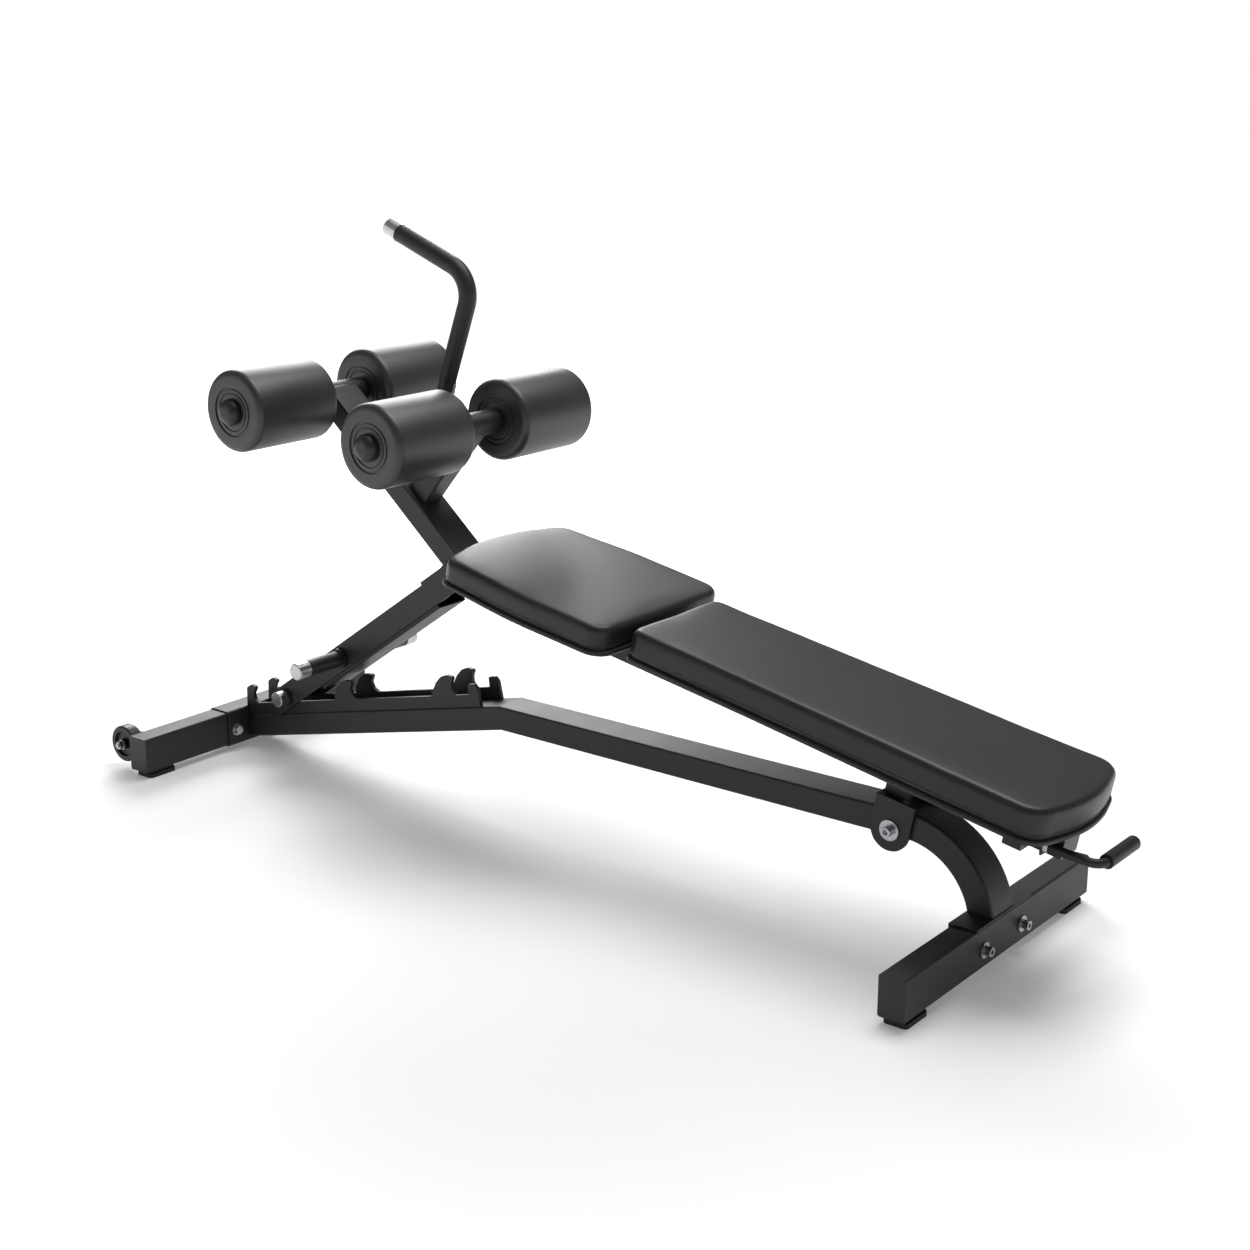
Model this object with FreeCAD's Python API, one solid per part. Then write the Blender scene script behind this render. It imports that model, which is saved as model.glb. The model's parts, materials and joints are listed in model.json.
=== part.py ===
import FreeCAD
import Part
import math
import os

# Decline sit-up bench. Millimetres, X along the bench (seat end is -X),
# Y across it, Z up, floor at Z = 0.

os.makedirs("parts", exist_ok=True)

# ---------------------------------------------------------------- overall
SHIFT_X = -57.2             # brings the middle of the overall length to X = 0
WALL = 3.0                  # wall of the square steel tubes
CORNER = 5.0                # outside corner radius of the square tubes

# ---------------------------------------------------------------- feet
FOOT_HALF = 330.0           # half length of each foot, caps included
FOOT_Z0 = 15.0
FOOT_Z1 = 91.2
FRONT_X0 = -963.2
FRONT_X1 = -910.1
REAR_X0 = 911.5
REAR_X1 = 963.2
CAP_FLANGE = 3.0
CAP_PLUG = 18.0
FOOT_PAD_LONG = 70.0
FOOT_PAD_INSET = 11.0
COLLAR_HALF = 100.0
COLLAR_T = 3.0
FRONT_BOLT_Y = 77.6
REAR_BOLT_Y = 68.0
FOOT_BOLT_Z = 49.0
FOOT_BOLT_R = 6.0
FLANGE_T = 2.5

# ---------------------------------------------------------------- rail
RAIL_HALF = 39.0
RAIL_DEPTH = 50.0
RAIL_SLOPE = math.degrees(math.atan(0.2320))
RAIL_TOP_Z = 246.2
RAIL_BEND_X = -157.6
CURVE_X = 780.6
CURVE_Z = 63.2
SADDLE_TOP = 94.2

# ---------------------------------------------------------------- notch plates
NOTCH_X = -913.8
NOTCH_Z = 74.9
NOTCH_FOOT = -4.15
NOTCH_Y0 = 28.0
NOTCH_Y1 = 36.0
NOTCH_FLOOR = 21.5
LOCK_R = 12.7

# ---------------------------------------------------------------- pad frame
PIVOT_X = 757.5
PIVOT_Z = 209.0
PAD_SLOPE = 10.4
FRAME_N = 75.5              # underside of the frame tube above the pivot
FRAME_SIDE = 60.0
FRAME_REAR_T = 304.0
STRAP_T = 6.0
BOARD_T = 12.0
JOINT_X = -243.0
JOINT_Z = 499.8
PIVOT_R = 8.0
RUNNING = 0.05

# ---------------------------------------------------------------- roller post
POST_HALF = 40.0
POST_DEPTH = 50.0
AXLE_A = (-623.6, 827.4)
AXLE_B = (-248.1, 801.5)
AXLE_R = 25.0
SPINDLE_R = 12.5
ROLLER_R = 82.3
ROLLER_Y0 = 71.0
ROLLER_Y1 = 286.0

# ---------------------------------------------------------------- support leg
LEG_SLOPE = 34.75
LOCK_X = -777.7
LOCK_Z = 142.0
LEG_LENGTH = 582.0
LEG_HALF_DEPTH = 26.0
LEG_Y0 = 40.0
LEG_Y1 = 44.0
CHEEK_Y0 = 44.5
CHEEK_Y1 = 48.5
SEAM = 537.3
HINGE_R = 8.0
HINGE_TUBE_R = 12.0

# ---------------------------------------------------------------- transport wheels
WHEEL_X = -1008.0
WHEEL_Z = 57.0
WHEEL_R = 40.0
WHEEL_Y0 = 285.0
WHEEL_Y1 = 313.0

made = []


def vec(x, y, z):
    return FreeCAD.Vector(x, y, z)


def box(x0, x1, y0, y1, z0, z1):
    return Part.makeBox(x1 - x0, y1 - y0, z1 - z0, vec(x0, y0, z0))


def rod(start, end, radius):
    a = vec(*start)
    b = vec(*end)
    return Part.makeCylinder(radius, (b - a).Length, a, b - a)


def rod_y(x, z, y0, y1, radius):
    return rod((x, y0, z), (x, y1, z), radius)


def rod_x(y, z, x0, x1, radius):
    return rod((x0, y, z), (x1, y, z), radius)


def hexagon(start, end, flats):
    a = vec(*start)
    b = vec(*end)
    rad = flats / math.sqrt(3.0)
    pts = []
    for i in range(7):
        ang = math.radians(60.0 * i)
        pts.append(vec(rad * math.cos(ang), rad * math.sin(ang), 0))
    prism = Part.Face(Part.makePolygon(pts)).extrude(vec(0, 0, (b - a).Length))
    turn = FreeCAD.Rotation(vec(0, 0, 1), b - a)
    prism.Placement = FreeCAD.Placement(a, turn)
    return prism


def slab(points, y0, y1):
    pts = [vec(x, y0, z) for x, z in points]
    pts.append(pts[0])
    return Part.Face(Part.makePolygon(pts)).extrude(vec(0, y1 - y0, 0))


def rounded(points, radii):
    """Closed outline in the local XY plane with a tangent arc at every corner."""
    n = len(points)
    cuts = []
    for i in range(n):
        p = vec(points[i][0], points[i][1], 0)
        a = vec(points[i - 1][0], points[i - 1][1], 0)
        b = vec(points[(i + 1) % n][0], points[(i + 1) % n][1], 0)
        u = (a - p).normalize()
        w = (b - p).normalize()
        half = u.getAngle(w) / 2.0
        reach = radii[i] / math.tan(half)
        mid = (u + w).normalize()
        centre = p + mid * (radii[i] / math.sin(half))
        cuts.append((p + u * reach, centre - mid * radii[i], p + w * reach))
    edges = []
    for i in range(n):
        start, middle, end = cuts[i]
        edges.append(Part.Arc(start, middle, end).toShape())
        nxt = cuts[(i + 1) % n][0]
        if (nxt - end).Length > 0.01:
            edges.append(Part.makeLine(end, nxt))
    return Part.Wire(edges)


def prism(points, radii, z0, z1):
    face = Part.Face(rounded(points, radii))
    face.translate(vec(0, 0, z0))
    return face.extrude(vec(0, 0, z1 - z0))


def side_plate(points, radii, y0, y1):
    """Rounded outline given as X, Z pairs, turned upright and made y0..y1 thick."""
    solid = prism(points, radii, -y1, -y0)
    solid.rotate(vec(0, 0, 0), vec(1, 0, 0), 90)
    return solid


def bar(length, half, low, high, corner):
    solid = box(0, length, -half, half, low, high)
    longs = []
    for e in solid.Edges:
        d = e.Vertexes[1].Point - e.Vertexes[0].Point
        if abs(d.y) < 0.01 and abs(d.z) < 0.01:
            longs.append(e)
    return solid.makeFillet(corner, longs)


def square_tube(length, half, low, high):
    outer = bar(length, half, low, high, CORNER)
    inner = bar(length + 4, half - WALL, low + WALL, high - WALL, CORNER - WALL)
    inner.translate(vec(-2, 0, 0))
    return outer.cut(inner)


def put(shape, x, z, slope):
    """Move a part drawn along +X so that it starts at x, z and climbs at slope."""
    out = shape.copy()
    out.rotate(vec(0, 0, 0), vec(0, 1, 0), -slope)
    out.translate(vec(x, 0, z))
    return out


def on_frame(shape):
    return put(shape, PIVOT_X, PIVOT_Z, -PAD_SLOPE)


def half_space(x, z, nx, nz):
    """Large block filling the side of the plane through x, z that n points to."""
    block = box(0, 900, -400, 400, -900, 900)
    slope = math.degrees(math.atan2(nz, nx))
    return put(block, x, z, slope)


def fuse(shapes):
    out = shapes[0]
    for s in shapes[1:]:
        out = out.fuse(s)
    return out.removeSplitter()


def cut(shape, tools):
    out = shape
    for t in tools:
        out = out.cut(t)
    return out


def mirror(shape):
    return shape.mirror(vec(0, 0, 0), vec(0, 1, 0))


def both(shape):
    return [shape, mirror(shape)]


def bend_path(points, radius):
    """Wire of straight runs through three points with one arc of given radius."""
    a, b, c = [vec(*p) for p in points]
    u = (a - b).normalize()
    w = (c - b).normalize()
    half = u.getAngle(w) / 2.0
    reach = radius / math.tan(half)
    mid = (u + w).normalize()
    centre = b + mid * (radius / math.sin(half))
    p0 = b + u * reach
    p1 = b + w * reach
    arc = Part.Arc(p0, centre - mid * radius, p1).toShape()
    return Part.Wire([Part.makeLine(a, p0), arc, Part.makeLine(p1, c)])


def pipe(points, bend, radius):
    path = bend_path(points, bend)
    a = vec(*points[0])
    b = vec(*points[1])
    ring = Part.Wire([Part.makeCircle(radius, a, b - a)])
    return path.makePipeShell([ring], True, False)


def save(name, shapes):
    solids = []
    for s in shapes:
        c = s.copy()
        c.translate(vec(SHIFT_X, 0, 0))
        solids.extend(c.Solids)
    out = solids[0]
    if len(solids) > 1:
        out = Part.makeCompound(solids)
    out.exportStep("parts/" + name + ".step")
    made.append((name, len(solids), out.BoundBox))


# ================================================================ feet
def foot(x0, x1):
    tube = square_tube(2 * (FOOT_HALF - CAP_FLANGE), (x1 - x0) / 2.0, FOOT_Z0, FOOT_Z1)
    tube.translate(vec(-(FOOT_HALF - CAP_FLANGE), 0, 0))
    tube.rotate(vec(0, 0, 0), vec(0, 0, 1), 90)
    tube.translate(vec((x0 + x1) / 2.0, 0, 0))
    return tube


def foot_caps(x0, x1):
    half = (x1 - x0) / 2.0
    flange = bar(CAP_FLANGE, half, FOOT_Z0, FOOT_Z1, CORNER)
    plug = bar(CAP_PLUG, half - WALL, FOOT_Z0 + WALL, FOOT_Z1 - WALL, CORNER - WALL)
    plug.translate(vec(-CAP_PLUG, 0, 0))
    cap = flange.fuse(plug)
    cap.translate(vec(FOOT_HALF - CAP_FLANGE, 0, 0))
    cap.rotate(vec(0, 0, 0), vec(0, 0, 1), 90)
    cap.translate(vec((x0 + x1) / 2.0, 0, 0))
    return both(cap)


def foot_pads(x0, x1):
    y1 = FOOT_HALF - FOOT_PAD_INSET
    y0 = y1 - FOOT_PAD_LONG
    base = box(x0 + 2.5, x1 - 2.5, y0, y1, 0, 9)
    uprights = [e for e in base.Edges if abs(e.Vertexes[0].Point.z - e.Vertexes[1].Point.z) > 1]
    base = base.makeFillet(8, uprights)
    neck = box(x0 + 6.5, x1 - 6.5, y0 + 4, y1 - 4, 9, FOOT_Z0)
    return both(base.fuse(neck))


def bolt_holes_x(ys, x0, x1, radius):
    return [rod_x(y, FOOT_BOLT_Z, x0, x1, radius) for y in ys]


front_ys = [-FRONT_BOLT_Y, FRONT_BOLT_Y]
rear_ys = [-REAR_BOLT_Y, REAR_BOLT_Y]
collar_x0 = FRONT_X0 - COLLAR_T
collar_x1 = FRONT_X1 + COLLAR_T

front_tube = cut(foot(FRONT_X0, FRONT_X1), bolt_holes_x(front_ys, -1000, -880, FOOT_BOLT_R))
save("front_foot_tube", [front_tube])
rear_tube = cut(foot(REAR_X0, REAR_X1), bolt_holes_x(rear_ys, 880, 1000, FOOT_BOLT_R))
save("rear_foot_tube", [rear_tube])
save("foot_end_caps", foot_caps(FRONT_X0, FRONT_X1) + foot_caps(REAR_X0, REAR_X1))
save("foot_pads", foot_pads(FRONT_X0, FRONT_X1) + foot_pads(REAR_X0, REAR_X1))

collar_out = bar(2 * COLLAR_HALF, (collar_x1 - collar_x0) / 2.0, FOOT_Z0 - COLLAR_T,
                 FOOT_Z1 + COLLAR_T, CORNER + COLLAR_T)
collar_in = bar(2 * COLLAR_HALF + 4, (FRONT_X1 - FRONT_X0) / 2.0, FOOT_Z0, FOOT_Z1, CORNER)
collar_in.translate(vec(-2, 0, 0))
collar = collar_out.cut(collar_in)
collar.translate(vec(-COLLAR_HALF, 0, 0))
collar.rotate(vec(0, 0, 0), vec(0, 0, 1), 90)
collar.translate(vec((FRONT_X0 + FRONT_X1) / 2.0, 0, 0))
save("front_collar", [cut(collar, bolt_holes_x(front_ys, -1000, -880, FOOT_BOLT_R))])

saddle_top = box(REAR_X0 - COLLAR_T, REAR_X1, -98, 98, FOOT_Z1, SADDLE_TOP)
saddle_flange = box(REAR_X0 - COLLAR_T, REAR_X0, -98, 98, 30, FOOT_Z1)
saddle = cut(saddle_top.fuse(saddle_flange), bolt_holes_x(rear_ys, 880, 1000, FOOT_BOLT_R))
save("rear_saddle", [saddle])


def cross_bolt(y, x0, x1, head, head_len, flange_r):
    shank = rod_x(y, FOOT_BOLT_Z, x0, x1, FOOT_BOLT_R)
    shank = shank.fuse(rod_x(y, FOOT_BOLT_Z, x1 - FLANGE_T, x1, flange_r))
    if head == "hex":
        top = hexagon((x1, y, FOOT_BOLT_Z), (x1 + head_len, y, FOOT_BOLT_Z), 19.0)
        return shank.fuse(top)
    top = rod_x(y, FOOT_BOLT_Z, x1, x1 + head_len, 8.5)
    socket = hexagon((x1 + head_len - 6, y, FOOT_BOLT_Z), (x1 + head_len, y, FOOT_BOLT_Z), 8.0)
    return shank.fuse(top).cut(socket)


def cross_nut(y, x0, x1):
    nut = hexagon((x0, y, FOOT_BOLT_Z), (x1, y, FOOT_BOLT_Z), 19.0)
    return nut.cut(rod_x(y, FOOT_BOLT_Z, x0 - 1, x1 + 1, FOOT_BOLT_R))


collar_set = []
rear_set = []
nuts = []
for y in front_ys:
    collar_set.append(cross_bolt(y, collar_x0 - 16, collar_x1 + FLANGE_T, "hex", 8, 14.0))
    nuts.append(cross_nut(y, collar_x0 - 10, collar_x0))
for y in rear_ys:
    rear_set.append(cross_bolt(y, REAR_X0 - 18, REAR_X1 + FLANGE_T, "socket", 13, 14.5))
    nuts.append(cross_nut(y, REAR_X0 - 13, REAR_X0 - 3))
save("collar_bolts", collar_set)
save("rear_foot_bolts", rear_set)
save("foot_bolt_nuts", nuts)

# ================================================================ rail
slope_r = math.radians(RAIL_SLOPE)
mitre_nx = math.cos(slope_r / 2.0)
mitre_nz = math.sin(slope_r / 2.0)
level = square_tube(CURVE_X - RAIL_BEND_X + 60, RAIL_HALF, -RAIL_DEPTH, 0)
level.translate(vec(RAIL_BEND_X - 60, 0, RAIL_TOP_Z))
sloped = square_tube(900, RAIL_HALF, -RAIL_DEPTH, 0)
sloped.translate(vec(-840, 0, 0))
sloped = put(sloped, RAIL_BEND_X, RAIL_TOP_Z, RAIL_SLOPE)
ahead = half_space(RAIL_BEND_X, RAIL_TOP_Z, mitre_nx, mitre_nz)
behind = half_space(RAIL_BEND_X, RAIL_TOP_Z, -mitre_nx, -mitre_nz)
level = level.cut(behind)
sloped = sloped.cut(ahead)
sloped = sloped.cut(box(-1400, collar_x1, -200, 200, -300, 500))
rail = fuse([level, sloped])
bush_r = 11.0
rail = rail.cut(rod_y(PIVOT_X, PIVOT_Z, -60, 60, bush_r))
save("main_rail", [rail])

sec_out = bar(10, RAIL_HALF, RAIL_TOP_Z - RAIL_DEPTH, RAIL_TOP_Z, CORNER)
sec_in = bar(10, RAIL_HALF - WALL, RAIL_TOP_Z - RAIL_DEPTH + WALL, RAIL_TOP_Z - WALL, CORNER - WALL)


def start_face(solid):
    faces = [f for f in solid.Faces if abs(f.CenterOfMass.x) < 0.01]
    return faces[0]


def swept(solid):
    face = start_face(solid)
    face.translate(vec(CURVE_X, 0, 0))
    return face.revolve(vec(CURVE_X, 0, CURVE_Z), vec(0, 1, 0), 90)


curve = swept(sec_out).cut(swept(sec_in))
curve = curve.cut(box(700, 1100, -200, 200, 0, SADDLE_TOP))
save("rear_leg_curve", [curve])

bush = rod_y(PIVOT_X, PIVOT_Z, -40, 40, bush_r)
save("pivot_bush", [bush.cut(rod_y(PIVOT_X, PIVOT_Z, -41, 41, PIVOT_R + RUNNING))])

# ================================================================ notch plates
top_line = NOTCH_FOOT
outline = [
    (0.0 + 1.0, top_line), (4.0, 21.5), (14.0, 59.0), (31.0, 65.0), (46.0, 58.0), (32.5, 44.0),
    (33.0, 30.0), (44.0, NOTCH_FLOOR), (296.0, NOTCH_FLOOR), (299.0, 36.0), (317.5, 56.0),
    (336.0, 64.0), (361.0, 60.0), (349.5, 44.0), (353.0, 31.0), (366.0, NOTCH_FLOOR),
    (590.0, NOTCH_FLOOR), (593.0, 28.0), (610.0, 49.0), (628.0, 62.0), (645.0, 64.5),
    (663.0, 60.0), (654.0, 46.0), (652.0, 34.0), (660.0, NOTCH_FLOOR), (698.0, NOTCH_FLOOR),
    (700.0, 43.5), (718.0, 43.0), (724.6, 33.0), (724.6, top_line),
]
notch_radii = [
    0.5, 30.0, 7.0, 8.0, 4.0, 5.0, 5.0, 6.0, 3.0, 10.0, 16.0, 16.0, 4.0, 6.0, 5.0, 6.0,
    2.0, 8.0, 16.0, 10.0, 8.0, 4.0, 8.0, 5.0, 4.0, 3.0, 4.0, 4.0, 4.0, 0.5,
]
notch = put(side_plate(outline, notch_radii, NOTCH_Y0, NOTCH_Y1), NOTCH_X, NOTCH_Z, RAIL_SLOPE)
collar_block = box(collar_x0 - 20, collar_x1, -COLLAR_HALF, COLLAR_HALF, 0, SADDLE_TOP)
notch = cut(notch, [rail, collar_block])
save("notch_plates", both(notch))

# ================================================================ transport wheels
ear = side_plate([(FRONT_X0, 24.0), (FRONT_X0, 84.0), (-1026.0, 76.0), (-1026.0, 38.0)],
                 [3.0, 3.0, 17.0, 17.0], 276.0, 281.0)
ear_foot = box(FRONT_X0 - 4, FRONT_X0, 250.0, 276.0, 24.0, 84.0)
ear = ear.fuse(ear_foot)
save("wheel_brackets", both(ear.cut(rod_y(WHEEL_X, WHEEL_Z, 270, 290, 5.0))))
wheel_bolt = rod_y(WHEEL_X, WHEEL_Z, 276.0 - 8, 330.0, 5.0)
wheel_bolt = wheel_bolt.fuse(hexagon((WHEEL_X, 268.0, WHEEL_Z), (WHEEL_X, 276.0, WHEEL_Z), 16.0))
wheel_bolt = wheel_bolt.fuse(rod_y(WHEEL_X, WHEEL_Z, 281.0, 284.0, 9.0))
save("wheel_bolts", both(wheel_bolt))
wheel_nut = hexagon((WHEEL_X, 317.5, WHEEL_Z), (WHEEL_X, 326.0, WHEEL_Z), 16.0)
wheel_nut = wheel_nut.fuse(rod_y(WHEEL_X, WHEEL_Z, 315.0, 317.5, 11.0))
save("wheel_nuts", both(wheel_nut.cut(rod_y(WHEEL_X, WHEEL_Z, 310, 330, 5.0))))


def ring_y(x, z, y0, y1, outer, inner):
    return rod_y(x, z, y0, y1, outer).cut(rod_y(x, z, y0 - 1, y1 + 1, inner))


tyre = ring_y(WHEEL_X, WHEEL_Z, WHEEL_Y0, WHEEL_Y1, WHEEL_R, 28.0)
rims = [e for e in tyre.Edges if len(e.Vertexes) == 1 and abs(e.Curve.Radius - WHEEL_R) < 0.1]
tyre = tyre.makeFillet(4.0, rims)
hub = ring_y(WHEEL_X, WHEEL_Z, WHEEL_Y0 + 6, WHEEL_Y1 - 6, 30.0, 5.0 + RUNNING)
hub = hub.fuse(ring_y(WHEEL_X, WHEEL_Z, WHEEL_Y0, WHEEL_Y1 + 1.5, 12.0, 5.0 + RUNNING))
wheel = fuse([tyre, hub])
save("wheel_left", [mirror(wheel)])
save("wheel_right", [wheel])

# ================================================================ pad frame
tube_len = 1500.0
frame_tube = square_tube(tube_len, FRAME_SIDE / 2.0, FRAME_N, FRAME_N + FRAME_SIDE)
frame_tube.translate(vec(FRAME_REAR_T - tube_len, 0, 0))
frame_tube = on_frame(frame_tube)
post_slope = math.atan2(AXLE_A[1] - JOINT_Z, AXLE_A[0] - JOINT_X)
mx = math.cos(post_slope) - math.cos(math.radians(PAD_SLOPE))
mz = math.sin(post_slope) + math.sin(math.radians(PAD_SLOPE))
frame_tube = frame_tube.cut(half_space(JOINT_X, JOINT_Z, mx, mz))

bolt_ts = (-930.0, -650.0, -460.0, -60.0, 210.0)
pad_bolt_r = 4.0
bolt_holes = [on_frame(rod((t, 0, 60), (t, 0, 150), pad_bolt_r)) for t in bolt_ts]
stub_t = 238.0
frame_tube = cut(frame_tube, bolt_holes)
save("pad_frame_tube", [frame_tube])

end_cap = bar(3, FRAME_SIDE / 2.0, FRAME_N, FRAME_N + FRAME_SIDE, CORNER)
end_plug = bar(18, FRAME_SIDE / 2.0 - WALL, FRAME_N + WALL, FRAME_N + FRAME_SIDE - WALL, 2.0)
end_plug.translate(vec(-18, 0, 0))
end_cap = end_cap.fuse(end_plug)
end_cap.translate(vec(FRAME_REAR_T, 0, 0))
save("frame_end_cap", [on_frame(end_cap)])

post_len = math.hypot(AXLE_A[0] - JOINT_X, AXLE_A[1] - JOINT_Z)
post = square_tube(post_len + 60, POST_HALF, -POST_DEPTH / 2.0, POST_DEPTH / 2.0)
post.translate(vec(-60, 0, 0))
post = put(post, JOINT_X, JOINT_Z, math.degrees(post_slope))
axle_cope = rod_y(AXLE_A[0], AXLE_A[1], -60, 60, AXLE_R)
post_core = put(bar(post_len, POST_HALF, -POST_DEPTH / 2.0, POST_DEPTH / 2.0, CORNER).translate(
    vec(-60, 0, 0)), JOINT_X, JOINT_Z, math.degrees(post_slope))
m_len = math.hypot(mx, mz)
post_plate = cut(post_core, [half_space(JOINT_X, JOINT_Z, -mx, -mz),
                             half_space(JOINT_X + WALL * mx / m_len, JOINT_Z + WALL * mz / m_len, mx, mz)])
post = cut(post, [half_space(JOINT_X, JOINT_Z, -mx, -mz), axle_cope])
post = fuse([post, post_plate])
save("roller_post", [post])

foot_x = -378.7
foot_z = 648.0
branch_len = math.hypot(AXLE_B[0] - foot_x, AXLE_B[1] - foot_z)
branch_slope = math.degrees(math.atan2(AXLE_B[1] - foot_z, AXLE_B[0] - foot_x))
branch = put(square_tube(branch_len, 25.4, -25.4, 25.4), foot_x, foot_z, branch_slope)
branch = branch.cut(rod_y(AXLE_B[0], AXLE_B[1], -60, 60, AXLE_R))
branch = branch.cut(put(bar(post_len + 60, POST_HALF, -POST_DEPTH / 2.0, POST_DEPTH / 2.0, CORNER),
                        JOINT_X, JOINT_Z, math.degrees(post_slope)))
save("roller_branch", [branch])


def axle(centre):
    x, z = centre
    middle = rod_y(x, z, -64, 64, AXLE_R)
    shoulder = rod_y(x, z, 0.5 - ROLLER_Y0, ROLLER_Y0 - 0.5, 22.0)
    spindle = fuse([middle, shoulder, rod_y(x, z, -290, 290, SPINDLE_R)])
    return spindle.cut(rod_y(x, z, -300, 300, SPINDLE_R - WALL))


def domes(centre):
    x, z = centre
    cap = rod_y(x, z, 285.3, 307.0, 26.5)
    cap = cap.makeFillet(17.0, [e for e in cap.Edges if e.BoundBox.YMin > 306.9])
    cap = cap.makeFillet(4.0, [e for e in cap.Edges if e.BoundBox.YMax < 285.4])
    cap = cap.cut(rod_y(x, z, 284.0, 290.0, SPINDLE_R))
    return both(cap)


save("front_axle", [axle(AXLE_A)])
save("rear_axle", [axle(AXLE_B)])
save("axle_caps", domes(AXLE_A) + domes(AXLE_B))

# ================================================================ rollers
def foam(centre):
    x, z = centre
    body = rod_y(x, z, ROLLER_Y0, ROLLER_Y1, ROLLER_R)
    rims_ = [e for e in body.Edges if len(e.Vertexes) == 1]
    body = body.makeFillet(16.0, rims_)
    body = body.cut(rod_y(x, z, ROLLER_Y0 - 1, ROLLER_Y1 + 1, 22.0))
    body = body.cut(rod_y(x, z, ROLLER_Y0 - 1, ROLLER_Y0 + 7.5, 44.0))
    return body.cut(rod_y(x, z, ROLLER_Y1 - 7.5, ROLLER_Y1 + 1, 44.0))


def core(centre):
    x, z = centre
    body = rod_y(x, z, ROLLER_Y0 + 1.5, ROLLER_Y1 - 1.5, 22.0)
    body = body.fuse(rod_y(x, z, ROLLER_Y0 + 1.5, ROLLER_Y0 + 7.5, 44.0))
    body = body.fuse(rod_y(x, z, ROLLER_Y1 - 7.5, ROLLER_Y1 - 1.5, 44.0))
    return body.cut(rod_y(x, z, ROLLER_Y0, ROLLER_Y1, SPINDLE_R + RUNNING))


for tag, centre in (("front", AXLE_A), ("rear", AXLE_B)):
    save(tag + "_roller_left_foam", [mirror(foam(centre))])
    save(tag + "_roller_left_core", [mirror(core(centre))])
    save(tag + "_roller_right_foam", [foam(centre)])
    save(tag + "_roller_right_core", [core(centre)])

# ================================================================ hand hold over the rollers
hold_start = (-393.0, 0, 660.3)
hold_dir = (0.3464, 0.9379)
hold_corner = (-234.0, 0, 1091.0)
hold_end = (-453.5, 0, 1176.0)
grip_from = (-309.7, 0, 886.0)
grip_to = (-427.6, 0, 1166.0)
sunk = (hold_start[0] - 20 * hold_dir[0], 0, hold_start[2] - 20 * hold_dir[1])
hold = pipe([sunk, hold_corner, hold_end], 60.0, 15.9)
post_solid = put(bar(post_len, POST_HALF, -POST_DEPTH / 2.0, POST_DEPTH / 2.0, CORNER),
                 JOINT_X, JOINT_Z, math.degrees(post_slope))
hold = hold.cut(post_solid)
branch_solid = put(bar(branch_len, 25.4, -25.4, 25.4, CORNER), foot_x, foot_z, branch_slope)
hold = hold.cut(branch_solid)
save("hand_hold_tube", [hold])
grip = pipe([grip_from, hold_corner, grip_to], 60.0, 17.8)
save("hand_hold_grip", [grip.cut(pipe([sunk, hold_corner, hold_end], 60.0, 15.9))])
hold_cap = rod(grip_to, (-456.0, 0, 1177.0), 18.4)
save("hand_hold_cap", [hold_cap.cut(pipe([sunk, hold_corner, hold_end], 60.0, 15.9))])

# ================================================================ hinge bracket
leg_cx = math.cos(math.radians(LEG_SLOPE))
leg_cz = math.sin(math.radians(LEG_SLOPE))
hinge_x = LOCK_X + LEG_LENGTH * leg_cx
hinge_z = LOCK_Z + LEG_LENGTH * leg_cz


def leg_point(s, h):
    return (LOCK_X + s * leg_cx - h * leg_cz, LOCK_Z + s * leg_cz + h * leg_cx)


px = math.cos(post_slope)
pz = math.sin(post_slope)


def post_point(t, n):
    """Distance t up the post from the joint, n above its centre line."""
    return (JOINT_X + t * px - n * (-pz), JOINT_Z + t * pz + n * (-px))


half_post = POST_DEPTH / 2.0
cheek_pts = [leg_point(SEAM, 31.0), leg_point(SEAM, -LEG_HALF_DEPTH), (-256.6, 471.8),
             post_point(-6.0, -half_post + 22.0), post_point(49.0, -half_post + 22.0),
             leg_point(607.0, 31.0)]
cheek = slab(cheek_pts, CHEEK_Y0, CHEEK_Y1)
filler_pts = [post_point(8.0, -half_post), post_point(4.0, -half_post + 22.0),
              post_point(49.0, -half_post + 22.0), leg_point(607.0, 31.0)]
filler = slab(filler_pts, POST_HALF, CHEEK_Y0)
web_pts = [leg_point(SEAM, 26.5), leg_point(SEAM, 31.0), leg_point(607.0, 31.0),
           leg_point(608.2, 26.5)]
web = slab(web_pts, -CHEEK_Y1, CHEEK_Y1)
cheek_pin = rod_y(hinge_x, hinge_z, -80, 80, HINGE_R)
bracket = fuse([cheek, mirror(cheek), filler, mirror(filler), web])
bracket = cut(bracket, [cheek_pin, post_solid])
save("hinge_bracket", [bracket])
save("hinge_pin", [rod_y(hinge_x, hinge_z, -CHEEK_Y1, CHEEK_Y1, HINGE_R)])

# ================================================================ clevis under the frame
cheek_top = 58.0
lug = box(-39, 39, 41.0, 46.0, 0, cheek_top)
lug = fuse([lug, rod_y(0, 0, 41.0, 46.0, 39.0)])
clevis_web = box(-39, 8, -46, 46, cheek_top - 5, cheek_top)
spacer = box(-34, 8, -28, 28, cheek_top, FRAME_N)
clevis = fuse([lug, mirror(lug), clevis_web, spacer]).cut(rod_y(0, 0, -60, 60, PIVOT_R))
save("pivot_clevis", [on_frame(clevis)])
pivot_bolt = rod_y(0, 0, -50, 62, PIVOT_R)
pivot_head = rod_y(0, 0, -61, -49, 9.5)
pivot_head = pivot_head.makeFillet(1.2, [e for e in pivot_head.Edges if e.BoundBox.YMax < -60.9])
pivot_socket = hexagon((0, -62.0, 0), (0, -55.0, 0), 10.0)
save("pivot_bolt", [on_frame(pivot_bolt.fuse(pivot_head).cut(pivot_socket))])
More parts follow.
